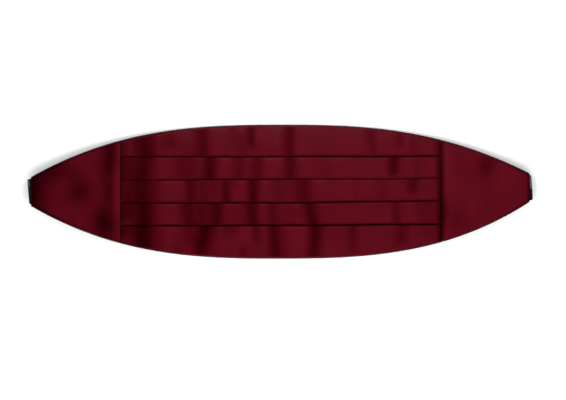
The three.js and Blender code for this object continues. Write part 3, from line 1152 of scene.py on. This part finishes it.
class CummerbundSizes(bpy.types.PropertyGroup):
    """Sizes of the cloth that the solids leave open."""

    satin_thickness: FloatProperty(
        name="Satin thickness",
        description="Satin with its interlining",
        default=0.55 * MM,
        unit="LENGTH",
    )
    pleat_underlap: FloatProperty(
        name="Pleat underlap",
        description="How far a pleat reaches under its fold",
        default=8.5 * MM,
        unit="LENGTH",
    )
    seam_flattening: FloatProperty(
        name="Seam flattening",
        description="How far a seam presses the pleats flat",
        default=7 * MM,
        unit="LENGTH",
    )
    pucker_depth: FloatProperty(
        name="Pucker depth",
        description="Strength of the soft creases",
        default=1.0,
        min=0.0,
        max=2.0,
    )
    strap_ribs: IntProperty(name="Strap ribs", description="Ribs across the elastic", default=13, min=1)
    stitch_pitch: FloatProperty(
        name="Stitch pitch",
        description="From one stitch to the next",
        default=2.4 * MM,
        unit="LENGTH",
    )


class CummerbundColours(bpy.types.PropertyGroup):
    """Colours of the cloth and the closure."""

    satin: FloatVectorProperty(
        name="Satin",
        description="Burgundy face cloth",
        subtype="COLOR",
        size=4,
        default=(0.0683, 0.0003, 0.0044, 1),
    )
    back: FloatVectorProperty(
        name="Back",
        description="Black back cloth",
        subtype="COLOR",
        size=4,
        default=(0.016, 0.015, 0.0165, 1),
    )
    elastic: FloatVectorProperty(
        name="Elastic",
        description="Black elastic",
        subtype="COLOR",
        size=4,
        default=(0.0045, 0.0041, 0.0045, 1),
    )
    # Colour of the painted highlight along each strap's fold
    highlight_colour: FloatVectorProperty(
        name="Rubber",
        description="The elastic's pale core",
        subtype="COLOR",
        size=4,
        default=(0.2, 0.16, 0.18, 1),
    )
    thread: FloatVectorProperty(
        name="Thread",
        description="Sewing thread",
        subtype="COLOR",
        size=4,
        default=(0.02, 0.019, 0.02, 1),
    )
    enamel: FloatVectorProperty(
        name="Enamel",
        description="Finish of the hook and the eye",
        subtype="COLOR",
        size=4,
        default=(0.012, 0.012, 0.013, 1),
    )
    # How strongly the painted shade darkens the satin in its creases, seams and along its edges
    painted_shade_strength: FloatProperty(
        name="Crease darkness",
        description="How much darker the satin is in its creases",
        default=0.755,
        min=0,
        max=1,
    )


def settings():
    scene = bpy.context.scene
    return scene.cummerbund_sizes, scene.cummerbund_colours


# ---------------------------------------------------------------- add-on: one operator for each piece


class CUMMERBUND_OT_stage(bpy.types.Operator):
    """Makes the pale floor, the soft studio light and the camera above the band"""

    bl_idname = "cummerbund.stage"
    bl_label = "Stage"

    def execute(self, context):
        make_floor()
        make_light()
        make_camera(context.scene)
        return {"FINISHED"}


class CUMMERBUND_OT_pleated_front(bpy.types.Operator):
    """Makes the pleated middle of the satin front"""

    bl_idname = "cummerbund.pleated_front"
    bl_label = "Pleated Front"

    def execute(self, context):
        sizes, colours = settings()
        near_seam = PLEATS_END - SEAM_ZONE
        left = np.linspace(-PLEATS_END, -near_seam, num=13)
        middle = np.linspace(-near_seam, near_seam, num=158)[1:-1]
        places = [*left, *middle, *(-left[::-1])]
        piece = swept_cloth(
            "satin_pleats",
            places,
            lambda x: pleated_section(x, sizes),
            sizes.satin_thickness,
            SATIN_BASE,
            shared_material("burgundy_satin", satin_material, colours),
        )
        declare_sheet(piece, "pleated_front")
        return {"FINISHED"}


class CUMMERBUND_OT_side_panels(bpy.types.Operator):
    """Makes the two plain side panels of the satin front"""

    bl_idname = "cummerbund.side_panels"
    bl_label = "Side Panels"

    def execute(self, context):
        sizes, colours = settings()
        for end in ENDS:
            shares = np.linspace(0, 1, num=64) ** 1.25  # closer together near the seam
            places = [end.outward * lerp(PANEL_START, PANEL_END + end.overhang, s) for s in shares]
            piece = swept_cloth(
                f"satin_side_{end.side}",
                sorted(places),
                lambda x: panel_section(end.side, x, sizes),
                sizes.satin_thickness,
                SATIN_BASE,
                shared_material("burgundy_satin", satin_material, colours),
            )
            declare_sheet(piece, f"side_{end.side}")
        return {"FINISHED"}


class CUMMERBUND_OT_back(bpy.types.Operator):
    """Makes the back panel, which carries the pleats and shows as a dark line along both edges"""

    bl_idname = "cummerbund.back"
    bl_label = "Back Panel"

    def execute(self, context):
        _, colours = settings()
        places = list(np.linspace(-CLOTH_HALF_LENGTH, CLOTH_HALF_LENGTH, num=150))
        twill = back_material(colours)
        piece = swept_cloth("back_cloth", places, back_section, BACK_WALL, BACK_WALL / 2, twill)
        declare_sheet(piece, "back")
        return {"FINISHED"}


class CUMMERBUND_OT_straps(bpy.types.Operator):
    """Makes the two elastic straps that are folded under the band"""

    bl_idname = "cummerbund.straps"
    bl_label = "Straps"

    def execute(self, context):
        sizes, colours = settings()
        tree = strap_tree()
        for end in ENDS:
            name = f"elastic_{end.side}"
            path = strap_path(end)
            # Where across the strap its painted highlight lies
            wear_and_highlight = sorted(end.outward * (share - 0.5) * STRAP_WIDTH for share in (end.worn_from, end.worn_to))
            values = {
                "Ribs": sizes.strap_ribs,
                "Fold Reach": max(x for x, _, _ in path) + STRAP_WALL / 2,
                "Worn From": wear_and_highlight[0],
                "Worn To": wear_and_highlight[1],
                "Material": elastic_material(colours, end),
            }
            piece = piece_at_end(run_tree(curve_along(name, path), tree, values), name, end)
            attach(piece, BODY)
            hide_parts(f"strap_{end.side}")
        return {"FINISHED"}


class CUMMERBUND_OT_stitches(bpy.types.Operator):
    """Sews each strap's turned-back tail down with a box of stitches"""

    bl_idname = "cummerbund.stitches"
    bl_label = "Stitches"

    def execute(self, context):
        sizes, colours = settings()
        tree = stitch_tree()
        for end in ENDS:
            name = f"strap_stitches_{end.side}"
            thread = shared_material("black_thread", thread_material, colours)
            values = {"Pitch": sizes.stitch_pitch, "Material": thread}
            piece = piece_at_end(run_tree(path_mesh(name, stitch_rows(end)), tree, values), name, end)
            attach(piece, BODY)
        return {"FINISHED"}


class CUMMERBUND_OT_closure(bpy.types.Operator):
    """Makes the stamped hook and eye on the straps"""

    bl_idname = "cummerbund.closure"
    bl_label = "Hook and Eye"

    def execute(self, context):
        _, colours = settings()
        for node in ("hook", "eye"):
            enamel = shared_material("black_enamel", enamel_material, colours)
            piece = finished(f"{node}_plate", softened_copy(node, PLATE_EDGE), enamel, sharp_angle=40)
            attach(piece, BODY)
            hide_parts(node)
        return {"FINISHED"}


class CUMMERBUND_PT_panel(bpy.types.Panel):
    """Lists what the add-on makes, with its sizes and colours"""

    bl_label = "Cummerbund"
    bl_space_type = "VIEW_3D"
    bl_region_type = "UI"
    bl_category = "Cummerbund"

    def draw(self, context):
        layout = self.layout
        for group in (context.scene.cummerbund_sizes, context.scene.cummerbund_colours):
            for key in group.bl_rna.properties.keys():
                if key not in {"rna_type", "name"}:
                    layout.prop(group, key)
        for operator in OPERATORS:
            layout.operator(operator.bl_idname)


# ---------------------------------------------------------------- stage

# Each light: its place, what it points at, its sizes and its power in watts
Lamp = namedtuple("Lamp", "name place target sizes power")
KEY = Lamp("key", (0.0, -0.776, 1.40), (0.0, 0.0, 0.0), (1.9, 0.74), 22.5)
SHEEN = Lamp("sheen", (0.0, 0.17, 0.40), (0.0, 0.17, 0.0), (0.14, 0.12), 0.68)
SURROUND = 0.85
SURROUND_OVERHEAD = 0.5  # share of the surround's light that comes from right above
OVERHEAD_FROM = (0.55, 0.95)  # heights on a unit sphere between which it falls to that

FLOOR_HALF = 3.0
CAMERA_HEIGHT = 3.0
CAMERA_LENS = 190.8
CAMERA_PLACE = (2.7 * MM, -8.3 * MM)
CAMERA_ROLL = math.radians(-0.1)


def make_floor():
    """A plain white surface, which hides nothing from a camera below it."""
    mesh = bpy.data.meshes.new("floor")
    corners = [(FLOOR_HALF * x, FLOOR_HALF * y, 0) for x, y in ((-1, -1), (1, -1), (1, 1), (-1, 1))]
    mesh.from_pydata(corners, [], [(0, 1, 2, 3)])
    material, t, shader = new_material("white_surface")
    tone = t.ranged(t.noise(t.place((4, 4, 4)), 2.0), (0.90, 0.92))
    inputs = {"Base Color": t.vector(tone, tone, tone), "Roughness": 0.9, "Specular IOR Level": 0.1}
    t.feed(shader, inputs)
    clear = t.first("ShaderNodeBsdfTransparent")
    below = t.node("ShaderNodeNewGeometry").outputs["Backfacing"]
    seen = t.first("ShaderNodeMixShader", {0: below, 1: shader.outputs[0], 2: clear})
    t.feed(next(n for n in t.tree.nodes if n.type == "OUTPUT_MATERIAL"), {"Surface": seen})
    mesh.materials.append(material)
    floor = linked("floor", mesh)


def make_area_light(lamp):
    data = bpy.data.lights.new(lamp.name, "AREA")
    data.shape = "RECTANGLE"
    data.size, data.size_y = lamp.sizes
    data.energy = lamp.power
    light = linked(lamp.name, data)
    light.location = lamp.place
    aim = Vector(lamp.target) - Vector(lamp.place)
    light.rotation_euler = aim.to_track_quat("-Z", "Y").to_euler()
    light.visible_camera = False
    return light


def make_light():
    """A soft key from the lower edge's side, a small light over the upper bands, and an even surround.

    The key leaves no reflection, and the surround is dimmer overhead, so the satin keeps its colour.
    """
    make_area_light(KEY).visible_glossy = False
    make_area_light(SHEEN)
    world = bpy.data.worlds.new("surround")
    bpy.context.scene.world = world
    world.use_nodes = True
    t = Tree(world.node_tree)
    world.node_tree.nodes.clear()
    direction = t.node("ShaderNodeTexCoord").outputs["Generated"]
    up = t.node("ShaderNodeSeparateXYZ", {0: direction}).outputs[2]
    level = t.ranged(up, (1.0, SURROUND_OVERHEAD), OVERHEAD_FROM)
    strength = t.product(level, SURROUND)
    sky = t.first("ShaderNodeBackground", {"Color": (1, 1, 1, 1), "Strength": strength})
    t.node("ShaderNodeOutputWorld", {"Surface": sky})


def make_camera(scene):
    data = bpy.data.cameras.new("camera")
    data.sensor_width = 36
    data.lens = CAMERA_LENS
    data.clip_end = 20
    camera = linked("camera", data)
    camera.location = (*CAMERA_PLACE, CAMERA_HEIGHT)
    camera.rotation_euler = (0, 0, CAMERA_ROLL)
    scene.camera = camera
    scene.view_settings.view_transform = "Standard"


# ---------------------------------------------------------------- registration and the run

OPERATORS = (
    CUMMERBUND_OT_stage,
    CUMMERBUND_OT_pleated_front,
    CUMMERBUND_OT_side_panels,
    CUMMERBUND_OT_back,
    CUMMERBUND_OT_straps,
    CUMMERBUND_OT_stitches,
    CUMMERBUND_OT_closure,
)
CLASSES = (CummerbundSizes, CummerbundColours, *OPERATORS, CUMMERBUND_PT_panel)


def register():
    for cls in CLASSES:
        bpy.utils.register_class(cls)
    bpy.types.Scene.cummerbund_sizes = PointerProperty(type=CummerbundSizes)
    bpy.types.Scene.cummerbund_colours = PointerProperty(type=CummerbundColours)


def unregister():
    del bpy.types.Scene.cummerbund_colours
    del bpy.types.Scene.cummerbund_sizes
    for cls in reversed(CLASSES):
        bpy.utils.unregister_class(cls)


def main():
    register()
    bpy.ops.cummerbund.stage()
    bpy.ops.cummerbund.pleated_front()
    bpy.ops.cummerbund.side_panels()
    bpy.ops.cummerbund.back()
    bpy.ops.cummerbund.straps()
    bpy.ops.cummerbund.stitches()
    bpy.ops.cummerbund.closure()


if __name__ == "__main__":
    main()
